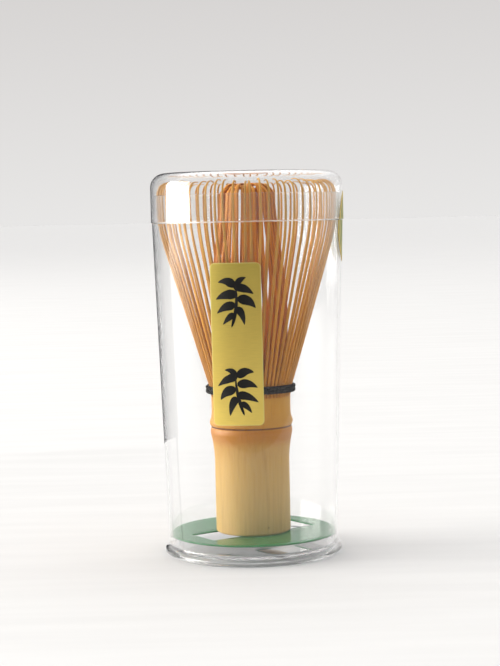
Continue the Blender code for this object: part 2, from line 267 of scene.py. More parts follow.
def make_piece(name, points, faces, finish, body, slot, stands_for=(), sharp=35, **values):
    """Puts points, given in millimetres, and faces into a mesh, closes its poles, turns it to face outwards,
    and lets it ride on its body. Extra values, one a point, are kept as attributes for the finish to read."""
    mesh = bpy.data.meshes.new(name)
    points = np.asarray(points, float).reshape(-1, 3) * MM
    mesh.from_pydata(points.tolist(), [], faces if isinstance(faces, list) else faces.tolist())
    for key, value in values.items():
        layer = mesh.attributes.new(key, "FLOAT", "POINT")
        layer.data.foreach_set("value", np.broadcast_to(value, len(points)).astype(np.float32).ravel())
    shape = bmesh.new()
    shape.from_mesh(mesh)
    bmesh.ops.remove_doubles(shape, verts=shape.verts, dist=1e-8)
    if shape.calc_volume(signed=True) < 0:
        bmesh.ops.reverse_faces(shape, faces=shape.faces)
    shape.to_mesh(mesh)
    shape.free()
    mesh.shade_smooth()
    mesh.set_sharp_from_angle(angle=math.radians(sharp))
    piece = bpy.data.objects.new(name, mesh)
    bpy.context.scene.collection.objects.link(piece)
    mesh.materials.append(finish)
    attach(piece, body)
    if stands_for:
        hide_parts(*stands_for)
    print(f"{name}: {len(mesh.polygons)} faces")
    return piece

# %% [markdown]
# ## The studio
# The object stands on a wide white sheet. The world is a soft sky: brightest overhead and behind the
# object, dim behind the camera, so that the clear plastic has something dark to mirror in front. At the
# horizon it is as bright as the far end of the sheet, so that no line shows there. The studio is in metres.

# %% Sky
ZENITH_LIGHT = 1.7

world = bpy.data.worlds.new("soft sky")
bpy.context.scene.world = world
world.use_nodes = True
sky = world.node_tree
direction = add(sky, "ShaderNodeTexCoord").outputs["Generated"]
direction = add(sky, "ShaderNodeSeparateXYZ", {"Vector": direction})
by_height = add(
    sky, "ShaderNodeValToRGB", {"Fac": direction.outputs["Z"]},
    stops=((0.0, "#b7b6b5"), (0.134, "#aaa8a7"), (0.35, "#c4c3c2"), (0.75, "#ffffff")),
)
by_depth = add(
    sky, "ShaderNodeMapRange",
    {"Value": direction.outputs["Y"], "From Min": -0.5, "From Max": 0.5, "To Min": 0.45, "To Max": 1.0},
    interpolation_type="SMOOTHSTEP",
)
light = add(sky, "ShaderNodeVectorMath", {0: by_height, "Scale": by_depth}, operation="SCALE")
feed(sky, sky.nodes["Background"], {"Color": light, "Strength": ZENITH_LIGHT})
print("sky: light overhead", ZENITH_LIGHT)

# %% [markdown]
# One large window on the left gives the bamboo its bright side. It is two lamps in one place: a softer one
# that lights, and a brighter one that shows only in reflections. A real window mirrored in plastic is a
# clean white patch, and a single lamp that bright would burn out the bamboo.

# %% Window on the left
WINDOW_WIDE = 2.2
WINDOW_TALL = 1.6
WINDOW_SILL = 0.098
WINDOW_AWAY = 3.0
WINDOW_AZIMUTH = math.radians(-92)
WINDOW_LIGHT = 7.5
WINDOW_GLARE = 10.0


def add_window(name, radiance):
    """A rectangle of light that faces the object and that the camera doesn't see."""
    lamp = bpy.data.lights.new(name, "AREA")
    lamp.shape = "RECTANGLE"
    lamp.size = WINDOW_TALL
    lamp.size_y = WINDOW_WIDE
    lamp.energy = 4 * radiance * WINDOW_TALL * WINDOW_WIDE
    lamp.color = linear("#fffdf8")[:3]
    lamp_object = bpy.data.objects.new(name, lamp)
    bpy.context.scene.collection.objects.link(lamp_object)
    lamp_object.matrix_world = (
        Matrix.Rotation(WINDOW_AZIMUTH + math.pi / 2, 4, "Z")
        @ Matrix.Translation((-WINDOW_AWAY, 0, WINDOW_SILL + WINDOW_TALL / 2))
        @ Matrix.Rotation(-math.pi / 2, 4, "Y")
    )
    lamp_object.visible_camera = False
    return lamp_object


add_window("window", WINDOW_LIGHT)
glare = add_window("window glare", WINDOW_GLARE)
glare.visible_diffuse = False
glare.visible_transmission = False
print(f"window: {WINDOW_WIDE} by {WINDOW_TALL} m, {WINDOW_AWAY} m away")

# %% Floor
FLOOR_HALF = 40.0
FLOOR_GAP = 0.05 * MM


def stage_piece(name, points, faces, finish):
    """A plain object of the studio, which is no part of the model."""
    mesh = bpy.data.meshes.new(name)
    mesh.from_pydata(np.asarray(points, float).reshape(-1, 3).tolist(), [], faces.tolist())
    mesh.materials.append(finish)
    piece = bpy.data.objects.new(name, mesh)
    bpy.context.scene.collection.objects.link(piece)
    piece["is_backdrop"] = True
    return piece


def rectangle(half_width, near, far, height):
    """The corners of a level rectangle, in order, and its one face."""
    corners = [(-half_width, near), (half_width, near), (half_width, far), (-half_width, far)]
    return [(x, y, height) for x, y in corners], np.array([[0, 1, 2, 3]])


def white_sheet():
    """Matt white paper, with faint long streaks across it, about 120 mm by 12 mm."""
    finish, tree, shader = new_finish("matt white sheet", Roughness=0.75, Specular_IOR_Level=0.2)
    place = add(tree, "ShaderNodeTexCoord").outputs["Object"]
    place = add(tree, "ShaderNodeMapping", {"Vector": place, "Scale": (0.1, 1, 1)})
    streak = add(tree, "ShaderNodeTexNoise", {"Vector": place, "Scale": per_mm(12), "Detail": 3})
    colour = add(tree, "ShaderNodeValToRGB", {"Fac": streak}, stops=((0.35, "#e1e0df"), (0.65, "#e5e4e3")))
    feed(tree, shader, {"Base Color": colour})
    return finish


stage_piece("floor", *rectangle(FLOOR_HALF, -FLOOR_HALF, FLOOR_HALF, -FLOOR_GAP), white_sheet())
print("floor:", 2 * FLOOR_HALF, "m wide")

# %% [markdown]
# Three dark cards are seen only in reflections, as a photographer sets them. One on the table in front
# keeps the white sheet from clouding the clear wall. A curved screen behind on the left draws the grey band
# down the left edge of the case. A narrow strip, which runs along the table away from the wall and then up,
# draws the thin line inside that band. It lies in the direction in which the wall there mirrors the view.

# %% Dark cards
CARD_HALF, CARD_NEAR, CARD_FAR, CARD_LIFT = 3.0, -6.0, -0.2, 1 * MM
SCREEN_RADIUS = 0.26
SCREEN_TALL = 0.36
SCREEN_FROM = math.radians(98)
SCREEN_TO = math.radians(165)
STRIP_ANGLE = math.radians(155)
STRIP_HALF = math.radians(2)
STRIP_START = np.array([-25.7, -16.4, 0.5]) * MM
STRIP_NEAR, STRIP_FAR = 12 * MM, 200 * MM

dark_card = new_finish("dark card", Base_Color=linear("#3a3b40"), Roughness=0.9)[0]
turn = np.linspace(SCREEN_FROM, SCREEN_TO, 25)
screen_foot = np.stack([SCREEN_RADIUS * np.cos(turn), SCREEN_RADIUS * np.sin(turn), 0 * turn], axis=1)
sides = STRIP_ANGLE + np.array([-STRIP_HALF, STRIP_HALF])
ray = np.stack([np.cos(sides), np.sin(sides), 0 * sides], axis=1)
strip_end = STRIP_START + STRIP_FAR * ray
up = (0, 0, SCREEN_TALL)
cards = (
    stage_piece("dark card", *rectangle(CARD_HALF, CARD_NEAR, CARD_FAR, CARD_LIFT), dark_card),
    stage_piece(
        "dark screen", np.stack([screen_foot, screen_foot + up]),
        grid_faces(2, len(turn), close_columns=False), dark_card,
    ),
    stage_piece(
        "dark strip", np.stack([STRIP_START + STRIP_NEAR * ray, strip_end, strip_end + up]),
        grid_faces(3, 2, close_columns=False), dark_card,
    ),
)
for card in cards:
    for way in ("camera", "diffuse", "transmission", "volume_scatter", "shadow"):
        setattr(card, "visible_" + way, False)
print("cards seen only in reflections:", [card.name for card in cards])

# %% [markdown]
# ## The clear cup and lid
# Clear boxes like this are injection moulded from polystyrene. It is truly clear, so what shows is its
# shape: the two surfaces of each wall, the neck and rim, the foot ring. So both shells are turned whole,
# with real wall thickness, as a lathe turns an outline. A mould leaves the faces glossy but never perfect,
# which a little uneven roughness and a very shallow wave give. Real polystyrene has an IOR of 1.59. In a
# studio that is white all round, so many strong mirror images cloud the wall, so the finish takes 1.27 with
# a clear coat of 1.36. Light that falls on the whisk would be bent and lost in the walls too, so shadow
# rays and diffuse rays go straight through, and lose a little at each surface.


# %% Clear polystyrene
RIM = box_of("case_lid")[0][2]
FROSTED = 0.22


def clear_styrene():
    """Polished moulding: nearly no roughness, a wave about 14 mm long, and grey at a glancing angle, where
    the light has come a long way through the wall. The edge of the lid's rim is frosted."""
    finish, tree, shader = new_finish(
        "clear polystyrene, moulded", IOR=1.27, Transmission_Weight=1.0,
        Coat_Weight=1.0, Coat_IOR=1.36, Coat_Roughness=0.02,
    )
    place = add(tree, "ShaderNodeTexCoord").outputs["Object"]
    cloud = add(tree, "ShaderNodeTexNoise", {"Vector": place, "Scale": per_mm(22), "Detail": 4})
    rough = add(tree, "ShaderNodeMapRange", {"Value": cloud, "To Min": 0.0, "To Max": 0.045})
    height = add(tree, "ShaderNodeSeparateXYZ", {"Vector": place}).outputs["Z"]
    edge = add(tree, "ShaderNodeMath", {0: height, 1: RIM * MM, 2: FROSTED * MM}, operation="COMPARE")
    frosted = add(tree, "ShaderNodeMath", {0: edge, 1: 0.6, 2: rough}, operation="MULTIPLY_ADD")
    wave = add(tree, "ShaderNodeTexNoise", {"Vector": place, "Scale": per_mm(14), "Detail": 0})
    bump = add(tree, "ShaderNodeBump", {"Height": wave, "Strength": 0.25, "Distance": 0.12 * MM})
    glance = add(tree, "ShaderNodeLayerWeight", {"Blend": 0.5}).outputs["Facing"]
    depth = add(tree, "ShaderNodeValToRGB", {"Fac": glance}, stops=((0.7, "#fdfdfd"), (1.0, "#e6e7ec")))
    feed(tree, shader, {"Base Color": depth, "Roughness": frosted, "Normal": bump})
    ray = add(tree, "ShaderNodeLightPath").outputs
    lighting = add(
        tree, "ShaderNodeMath", {0: ray["Is Shadow Ray"], 1: ray["Is Diffuse Ray"]}, operation="MAXIMUM"
    )
    clear = add(tree, "ShaderNodeBsdfTransparent", {"Color": linear("#f4f5f6")})
    both = add(tree, "ShaderNodeMixShader", {0: lighting, 1: shader, 2: clear})
    feed(tree, tree.nodes["Material Output"], {"Surface": both})
    return finish


styrene = clear_styrene()

# %% Cup
LATHE_STEPS = 192
CUP_HIGH, LID_HIGH = box_of("case_body")[1], box_of("case_lid")[1]
CUP_RADIUS, CUP_TOP = CUP_HIGH[0], CUP_HIGH[2]
LID_RADIUS, LID_TOP = LID_HIGH[0], LID_HIGH[2]
DISC_SEAT = box_of("green_stand")[0][2]
FOOT_RADIUS, FOOT_BORE = 28.35, 27.6
NECK_RADIUS = LID_RADIUS - 0.95
NECK_BORE = NECK_RADIUS - 0.75
WELL_RADIUS = 27.04
FLOOR_UNDER, FLOOR_TOP = 1.0, 2.4
FLANGE_RADIUS, FLANGE_TOP, RING_BORE = 29.95, 2.7, 26.55
ROUND = 0.9


def cup_outside(height):
    """The tapered wall: its radius grows evenly from the foot to the rim of the lid."""
    return FOOT_RADIUS + (CUP_RADIUS - FOOT_RADIUS) * height / RIM


def cup_inside(height):
    """The bore of the cup, which grows evenly from the floor to the mouth."""
    return FOOT_BORE + (NECK_BORE - FOOT_BORE) * height / CUP_TOP


cup_outline = [
    (0, FLOOR_TOP), (WELL_RADIUS - ROUND, FLOOR_TOP), (WELL_RADIUS, FLOOR_TOP + ROUND),
    (WELL_RADIUS, DISC_SEAT), (cup_inside(DISC_SEAT), DISC_SEAT), (NECK_BORE, CUP_TOP),
    (NECK_RADIUS, CUP_TOP), (NECK_RADIUS, RIM), (CUP_RADIUS, RIM),
    (cup_outside(FLANGE_TOP + ROUND), FLANGE_TOP + ROUND), (FLANGE_RADIUS - ROUND, FLANGE_TOP),
    (FLANGE_RADIUS, FLANGE_TOP - ROUND), (FLANGE_RADIUS, ROUND), (FLANGE_RADIUS - ROUND, 0),
    (RING_BORE, 0), (RING_BORE - FLOOR_UNDER, FLOOR_UNDER), (0, FLOOR_UNDER),
]
cup_path = divided(rounded(cup_outline, 0.35), 6)
make_piece(
    "clear_cup", turned(cup_path, LATHE_STEPS), grid_faces(len(cup_path), LATHE_STEPS), styrene,
    "case", "clear_plastic", ["case_body"], sharp=60,
)

# %% Lid
LID_WALL = 0.8
LID_CORNER = 4.6
corner = (LID_RADIUS - LID_CORNER, LID_TOP - LID_CORNER)
lid_outline = np.concatenate([
    [(0, LID_TOP - LID_WALL)],
    arc(corner, LID_CORNER - LID_WALL, 90, 0, 12),
    [(LID_RADIUS - LID_WALL, RIM), (LID_RADIUS, RIM)],
    arc(corner, LID_CORNER, 0, 90, 14),
    [(0, LID_TOP)],
])
lid_path = divided(rounded(lid_outline, 0.2, steps=3), 5)
make_piece(
    "clear_lid", turned(lid_path, LATHE_STEPS), grid_faces(len(lid_path), LATHE_STEPS), styrene,
    "lid", "clear_plastic", ["case_lid"], sharp=60,
)

# %% [markdown]
# ## The handle
# The handle is a bare length of culm with its skin scraped off, cut just below one node. The node is the
# part that makes it bamboo: a swelling, a fine groove with a dark line, and a sharper ridge above it.
# Inside, the node's wall closes the bore. It is turned from an outline, and then made a little oval and
# uneven, because no culm is a true cylinder. The colour follows the height, and the fibres run straight up.


# %% Scraped bamboo
HANDLE_LOW, HANDLE_HIGH = box_of("handle")
SLIT_START = HANDLE_HIGH[2] + 4.3
NODE_HEIGHT = 42.5
TINT_LOW, TINT_HIGH = 1.3, 61.3


def scraped_bamboo():
    """Dry fibre, half matt: pale straw low down, baked orange-brown at the node, with streaks about 0.8 mm
    wide and a few small dark specks. A thin dark line lies in the node's groove."""
    finish, tree, shader = new_finish("scraped bamboo", Specular_IOR_Level=0.2)
    place = add(tree, "ShaderNodeTexCoord").outputs["Object"]
    up = add(tree, "ShaderNodeSeparateXYZ", {"Vector": place}).outputs["Z"]
    wander = add(tree, "ShaderNodeTexNoise", {"Vector": place, "Scale": per_mm(16), "Detail": 2})
    height = add(tree, "ShaderNodeMath", {0: wander, 1: 2.6 * MM, 2: up}, operation="MULTIPLY_ADD")
    share = add(
        tree, "ShaderNodeMapRange", {"Value": height, "From Min": TINT_LOW * MM, "From Max": TINT_HIGH * MM}
    )
    tint = add(
        tree, "ShaderNodeValToRGB", {"Fac": share},
        stops=(
            (0.0, "#d6b26a"), (0.25, "#d6ae62"), (0.5, "#d6a956"), (0.6, "#d3a04c"),
            (0.645, "#cb862c"), (0.69, "#c98228"), (0.73, "#d69a3a"), (0.87, "#dc9f36"), (1.0, "#d6902a"),
        ),
    )
    line = add(
        tree, "ShaderNodeMath", {0: up, 1: (NODE_HEIGHT + 0.05) * MM, 2: 0.28 * MM}, operation="COMPARE"
    )
    dark_line = add(tree, "ShaderNodeMix", {0: line, 6: tint, 7: linear("#7b4d26")}, data_type="RGBA")
    stretched = add(tree, "ShaderNodeMapping", {"Vector": place, "Scale": (1, 1, 0.035)})
    fibre = add(tree, "ShaderNodeTexNoise", {"Vector": stretched, "Scale": per_mm(0.8), "Detail": 5})
    streak = add(
        tree, "ShaderNodeValToRGB", {"Fac": fibre},
        stops=((0.3, "#eadfcd"), (0.5, "#ffffff"), (0.72, "#f3e7d3")),
    )
    streaked = add(
        tree, "ShaderNodeMix", {0: 0.75, 6: dark_line, 7: streak}, data_type="RGBA", blend_type="MULTIPLY"
    )
    spot = add(tree, "ShaderNodeTexVoronoi", {"Vector": place, "Scale": per_mm(7)})
    speck = add(
        tree, "ShaderNodeMapRange",
        {"Value": spot, "From Min": 0.03, "From Max": 0.075, "To Min": 0.55, "To Max": 0.0},
    )
    specked = add(tree, "ShaderNodeMix", {0: speck, 6: streaked, 7: linear("#8a6238")}, data_type="RGBA")
    rough = add(tree, "ShaderNodeMapRange", {"Value": fibre, "To Min": 0.36, "To Max": 0.6})
    bump = add(tree, "ShaderNodeBump", {"Height": fibre, "Strength": 0.5, "Distance": 0.06 * MM})
    feed(tree, shader, {"Base Color": specked, "Roughness": rough, "Normal": bump})
    return finish


# %% Handle
HANDLE_STEPS = 160
HANDLE_BORE, UPPER_BORE = 8.85, 9.75
SEPTUM_LOW, SEPTUM_HIGH = 42.45, 44.95
SKIN_FROM = 11
FOOT = HANDLE_LOW[2]

# Up the outside: the straight culm, the bulge under the node, its groove, the ridge, and the waist above.
handle_outline = [
    (0, SEPTUM_LOW), (HANDLE_BORE, SEPTUM_LOW), (HANDLE_BORE, FOOT), (12.1, FOOT), (12.5, FOOT + 0.45),
    (12.5, 32), (12.75, 35), (13.1, 37.6), (13.45, 39.3), (13.72, 40.7), (13.6, 41.7),
    (13.34, NODE_HEIGHT), (13.75, NODE_HEIGHT + 0.8), (13.98, NODE_HEIGHT + 1.5),
    (13.72, NODE_HEIGHT + 2.3), (13.36, NODE_HEIGHT + 3.4), (13.2, 47.5), (13.2, 50), (13.3, SLIT_START),
    (UPPER_BORE, SLIT_START), (UPPER_BORE, SEPTUM_HIGH), (0, SEPTUM_HIGH),
]


def culm(path, steps):
    """A lathe made uneven: the skin's radius varies by 0.6% twice round the culm, and near the node by 0.4%
    more often, and the node's ring rises and falls by 0.28 mm. `near` is a bell curve round the node."""
    points = turned(path, steps)
    turn = np.linspace(0, 2 * np.pi, steps, endpoint=False)
    near = np.exp(-(((path[:, 1] - NODE_HEIGHT) / 3.5) ** 2))[:, None]
    skin = (path[:, 0] > SKIN_FROM)[:, None]
    oval = 1 + skin * (0.006 * np.cos(2 * turn + 0.8) + 0.004 * near * np.sin(5 * turn + 2) * np.sin(turn))
    points[..., :2] *= oval[..., None]
    points[..., 2] += skin * near * 0.28 * (np.sin(turn + 0.5) + 0.4 * np.sin(3 * turn))
    return points


handle_path = divided(rounded(handle_outline, 0.6), 1.5)
make_piece(
    "bamboo_handle", culm(handle_path, HANDLE_STEPS), grid_faces(len(handle_path), HANDLE_STEPS),
    scraped_bamboo(), "whisk", "culm_bamboo", ["handle"], sharp=50,
)

# %% [markdown]
# ## The tines
# The wall above the node is split with a knife, and every other split is bent in. Each tine is shaved thin
# towards its tip, and the tips are curled with heat. One tine is a rounded strip carried along a path of
# (radius, height) points, and its width and thickness fall off towards the tip. All tines are worked out in
# one array. Each differs a little from the next in place, lean, curl and colour, as handwork does.


# %% Split bamboo
def split_bamboo(name, root, middle, tip, edge):
    """Shaved fibre with fine lines along the tine. The colour goes from root to tip, and differs from tine to
    tine. Each point carries its place along the tine, its place across it, and the tine's own tone."""
    finish, tree, shader = new_finish(name, Roughness=0.5, Specular_IOR_Level=0.2)
    along, across, tone = (
        add(tree, "ShaderNodeAttribute", attribute_name=key).outputs["Fac"]
        for key in ("along", "across", "tone")
    )
    tint = add(tree, "ShaderNodeValToRGB", {"Fac": along}, stops=((0.0, root), (0.35, middle), (0.97, tip)))
    place = add(tree, "ShaderNodeCombineXYZ", {"X": across, "Y": along, "Z": tone})
    stretched = add(tree, "ShaderNodeMapping", {"Vector": place, "Scale": (3, 5, 60)})
    fibre = add(tree, "ShaderNodeTexNoise", {"Vector": stretched, "Scale": 1, "Detail": 4})
    shade = add(
        tree, "ShaderNodeMapRange",
        {"Value": fibre, "From Min": 0.35, "From Max": 0.7, "To Min": 0.0, "To Max": 0.55},
    )
    lined = add(tree, "ShaderNodeMix", {0: shade, 6: tint, 7: linear(edge)}, data_type="RGBA")
    bright = add(tree, "ShaderNodeMapRange", {"Value": tone, "To Min": 0.82, "To Max": 1.14})
    toned = add(tree, "ShaderNodeVectorMath", {0: lined, "Scale": bright}, operation="SCALE")
    bump = add(tree, "ShaderNodeBump", {"Height": fibre, "Strength": 0.4, "Distance": 0.05 * MM})
    feed(tree, shader, {"Base Color": toned, "Normal": bump})
    return finish


# %% A ring of tines
SECTION = np.array(
    [(0.5, -0.28), (0.5, -0.72), (0.3, -1), (-0.3, -1), (-0.5, -0.72), (-0.5, -0.28), (-0.3, 0), (0.3, 0)]
)


def tine_ring(count, stem, hook, width, depth, uneven, seed, room):
    """Point (k, row, side) of all tines at once. The stem is a (radius, height) path that every tine shares,
    and the hook an arc inwards from its end, of a radius and an angle. Width and depth are tables: places
    along the tine, and millimetres there. A section's across axis is level, and its depth goes square to the
    path, inwards. Hooks differ by a fifth in radius and 13 degrees in length, stems bow and lean by 0.3 mm,
    and tips drift by 0.55 mm round the ring. All of that is multiplied by `uneven`."""
    chance = np.random.default_rng(seed)
    rows_up, rows_round = 30, 15
    up = np.broadcast_to(resample(stem, rows_up), (count, rows_up, 2))
    size = hook[0] * (1 + uneven * chance.uniform(-0.22, 0.14, (count, 1)))
    sweep = np.radians(hook[1] + uneven * chance.normal(0, 13, (count, 1)))
    angle = sweep * np.linspace(0, 1, rows_round + 1)[1:]
    end = up[:, -1:, :]
    bend = np.stack([end[..., 0] - size + size * np.cos(angle), end[..., 1] + size * np.sin(angle)], axis=-1)
    path = np.concatenate([up, bend], axis=1)
    step = np.linalg.norm(np.diff(path, axis=1), axis=-1)
    along = np.concatenate([np.zeros((count, 1)), np.cumsum(step, axis=1)], axis=1)
    along /= along[:, -1:]
    tangent = np.gradient(path, axis=1)
    tangent /= np.linalg.norm(tangent, axis=-1, keepdims=True)
    lean = uneven * chance.normal(0, 0.3, (count, 1)) * along**2
    bow = uneven * chance.normal(0, 0.28, (count, 1)) * np.sin(np.pi * along)
    radius = np.minimum(path[..., 0] + lean + bow * 0.6, room(path[..., 1]))
    drift = uneven * (chance.normal(0, 0.55, (count, 1)) * along**1.5) + bow
    turn = 2 * np.pi * (np.arange(count)[:, None] + 0.5) / count + drift / np.maximum(radius, 4)
    wide = np.interp(along, *width)[..., None] * SECTION[:, 0]
    deep = np.interp(along, *depth)[..., None] * SECTION[:, 1]
    out = radius[..., None] + tangent[..., 1:] * deep
    high = path[..., 1:] - tangent[..., :1] * deep
    cos, sin = np.cos(turn)[..., None], np.sin(turn)[..., None]
    points = np.stack([out * cos - wide * sin, out * sin + wide * cos, high], axis=-1)
    tone = chance.uniform(0, 1, (count, 1, 1))
    values = {"along": along[..., None], "across": SECTION.sum(axis=1), "tone": tone}
    return points, {key: np.broadcast_to(value, wide.shape).ravel() for key, value in values.items()}


def make_tines(name, ring, finish, slot, stands_for):
    """Skins every tine of a ring as one closed tube, and keeps them together as one piece."""
    points, values = ring
    faces = tube_faces(*points.shape[:3])
    return make_piece(name, points, faces, finish, "whisk", slot, stands_for, sharp=50, **values)


# %% Outer and inner ring
TINES = 64
OUTER_STEM = [
    (12.95, SLIT_START - 1.6), (13.42, SLIT_START), (13.75, SLIT_START + 2.6), (28.3, 104.3), (29.2, 108.2),
    (29.7, 112.0), (29.85, 115.0), (29.85, 120.4),
]
INNER_STEM = [(12.0, 50), (12.35, 56), (12.4, 84), (11.6, 94), (10.3, 104), (9.3, 113), (8.9, 119.2)]
OUTER_HOOK, INNER_HOOK = (4.05, 112), (3.9, 118)
OUTER_WIDTH = ((0, 0.12, 0.6, 0.85, 1), (1.1, 1.1, 1.0, 0.75, 0.5))
OUTER_DEPTH = ((0, 0.2, 0.75, 1), (0.95, 0.8, 0.5, 0.3))
INNER_WIDTH = ((0, 0.2, 1), (1.12, 1.12, 0.8))
INNER_DEPTH = ((0, 0.5, 1), (0.8, 0.65, 0.32))


def inside_case(height):
    """The most a tine may stand out: a tenth of a millimetre less than the bore of the cup."""
    return cup_inside(np.minimum(height, CUP_TOP)) - 0.1


outer_tines = tine_ring(
    TINES, rounded(OUTER_STEM, 3), OUTER_HOOK, OUTER_WIDTH, OUTER_DEPTH,
    uneven=0.6, seed=11, room=inside_case,
)
inner_tines = tine_ring(
    TINES, rounded(INNER_STEM, 4), INNER_HOOK, INNER_WIDTH, INNER_DEPTH,
    uneven=1.5, seed=12, room=inside_case,
)
make_tines(
    "outer_tine_ring", outer_tines,
    split_bamboo("split bamboo, outer ring", "#c98418", "#dd9728", "#eeb75c", "#a9620c"),
    "tine_bamboo", ["outer_tines"],
)
# The inner ring's colours are darker and a deeper orange than the outer ring's: painted shade for the tines
# deep inside the bundle.
make_tines(
    "inner_tine_ring", inner_tines,
    split_bamboo("split bamboo, inner ring", "#cc7210", "#e08212", "#ee9e2c", "#9c4e04"),
    "core_bamboo", ["inner_tines"],
)

# %% [markdown]
# ## The thread
# A black cotton thread is wound twice round the foot of the outer tines, and holds them apart from the
# inner ones. It dips a little into every slit, and rises and falls a little on its way. Each round is a
# closed ring whose section is three round plies, which turn as the section goes round.


# %% Thread
THREAD_RADIUS = 0.7
THREAD_STEPS = TINES * 16
THREAD_SIDES = 14
PLIES = 3
PLY_TWISTS = 50
ROUND_RADIUS = 14.25
SLIT_DIP = 0.22
RISE = 0.35
PITCH = 1.2
LIFTED = 0.5


def cotton():
    """Dyed cotton: matt, with a soft sheen, and painted lighter in patches on the crown of each ply: a painted
    highlight.
    """
    finish, tree, shader = new_finish(
        "black cotton thread", Roughness=0.9, Specular_IOR_Level=0.1, Sheen_Weight=0.06
    )
    crown = add(tree, "ShaderNodeAttribute", attribute_name="crown").outputs["Fac"]
    place = add(tree, "ShaderNodeTexCoord").outputs["Object"]
    fluff = add(tree, "ShaderNodeTexNoise", {"Vector": place, "Scale": per_mm(0.4), "Detail": 3})
    # Painted highlight: the fluff on the crown of each ply is made lighter.
    wear_and_painted_highlight = add(tree, "ShaderNodeMath", {0: fluff, 1: crown}, operation="MULTIPLY")
    colour = add(tree, "ShaderNodeValToRGB", {"Fac": wear_and_painted_highlight}, stops=((0.1, "#0d0b09"), (0.8, "#26221d")))
    feed(tree, shader, {"Base Color": colour})
    return finish


black_cotton = cotton()


def thread_round(name, height, node, phase):
    """A closed round: the middle line stands out over each tine and dips by SLIT_DIP into each slit, and the
    section's radius swells over each of three plies, which turn fifty times on the way round."""
    turn = np.linspace(0, 2 * np.pi, THREAD_STEPS, endpoint=False)[:, None]
    side = np.linspace(0, 2 * np.pi, THREAD_SIDES, endpoint=False)[None, :]
    crown = 0.5 + 0.5 * np.cos(PLIES * (side + phase) + PLY_TWISTS * turn)
    size = THREAD_RADIUS * (0.86 + 0.2 * crown)
    over_tine = 0.5 + 0.5 * np.cos(TINES * turn + np.pi)
    middle = height + 0.12 * over_tine + RISE * np.cos(turn + 0.4 * np.pi) ** 2 - 0.15
    out = ROUND_RADIUS + SLIT_DIP * over_tine + size * np.cos(side)
    points = np.stack([out * np.cos(turn), out * np.sin(turn), middle + size * np.sin(side)], axis=-1)
    make_piece(
        name, points, grid_faces(THREAD_STEPS, THREAD_SIDES, close_rows=True), black_cotton,
        "whisk", "black_thread", [node], crown=crown.ravel(),
    )


lowest, highest = box_of("thread_lower_round")[0][2], box_of("thread_upper_round")[1][2]
thread_middle = (lowest + highest) / 2 + LIFTED
thread_round("thread_round_lower", thread_middle - PITCH / 2, "thread_lower_round", 0.0)
thread_round("thread_round_upper", thread_middle + PITCH / 2, "thread_upper_round", 0.7)

# %% [markdown]
# ## The green disc
# A die-cut disc of green polystyrene sheet, half a millimetre thick. Two tabs are cut free on three sides
# and bent up into the bore of the handle, which leaves a window on each side. It is made as a middle
# surface and then given its thickness. Each half is a fan of rays from the window's edge to the rim or to
# the middle line. The rays that meet the fold lie on the tab's own columns, so that the two join.


# %% Glossy green sheet
def green_sheet():
    """Calendered polystyrene: an even glossy green above and pale grey below, with rolling lines about
    2.4 mm apart."""
    finish, tree, shader = new_finish("green polystyrene sheet", IOR=1.4)
    place = add(tree, "ShaderNodeTexCoord").outputs["Object"]
    lines = add(tree, "ShaderNodeMapping", {"Vector": place, "Scale": (1, 0.06, 1)})
    rolled = add(tree, "ShaderNodeTexNoise", {"Vector": lines, "Scale": per_mm(2.4), "Detail": 2})
    cloud = add(tree, "ShaderNodeTexNoise", {"Vector": place, "Scale": per_mm(9), "Detail": 3})
    colour = add(tree, "ShaderNodeValToRGB", {"Fac": cloud}, stops=((0.35, "#127238"), (0.65, "#1c7e44")))
    facing = add(tree, "ShaderNodeNewGeometry").outputs["True Normal"]
    facing = add(tree, "ShaderNodeSeparateXYZ", {"Vector": facing}).outputs["Z"]
    below = add(tree, "ShaderNodeMath", {0: facing, 1: -0.5}, operation="LESS_THAN")
    two_sides = add(tree, "ShaderNodeMix", {0: below, 6: colour, 7: linear("#d9dad8")}, data_type="RGBA")
    rough = add(tree, "ShaderNodeMapRange", {"Value": rolled, "To Min": 0.1, "To Max": 0.26})
    bump = add(tree, "ShaderNodeBump", {"Height": rolled, "Strength": 0.35, "Distance": 0.03 * MM})
    feed(tree, shader, {"Base Color": two_sides, "Roughness": rough, "Normal": bump})
    return finish


# %% Disc with two tabs
DISC_LOW, DISC_HIGH = box_of("green_stand")
SHEET = 0.5
DISC_RADIUS = DISC_HIGH[0]
DISC_MIDDLE = DISC_LOW[2] + SHEET / 2
SLOT_TURN = math.radians(35)
WINDOW_END = 20.5
WINDOW_HALF = 6.7
TAB_HALF = 6.4
TAB_OUT = 5.42
BEND = 0.5
FOLD = TAB_OUT - BEND
FAN_MIDDLE = (FOLD + WINDOW_END) / 2
RAYS, RAY_STEPS = 130, 6
TAB_COLUMNS, TAB_ROWS = 13, 8


def fan_angles():
    """Directions from the window's middle: even ones, and those to the corners and to the tab's columns."""
    near, far = FOLD - FAN_MIDDLE, WINDOW_END - FAN_MIDDLE
    corner = math.atan2(WINDOW_HALF, near)
    even = np.linspace(-corner, corner, RAYS)[1:-1]
    columns = np.linspace(-TAB_HALF, TAB_HALF, TAB_COLUMNS)
    on_fold = np.arctan2(columns, near)
    corners = [corner, -corner, math.atan2(WINDOW_HALF, far), math.atan2(-WINDOW_HALF, far)]
    rim = math.atan2(DISC_RADIUS, -FAN_MIDDLE)
    special = np.array([*corners, rim, -rim])
    even = even[np.abs(even[:, None] - special).min(axis=1) > 0.012]
    keep = np.concatenate([even, special, on_fold]) % (2 * np.pi)
    return np.unique(np.round(keep, 9)), columns


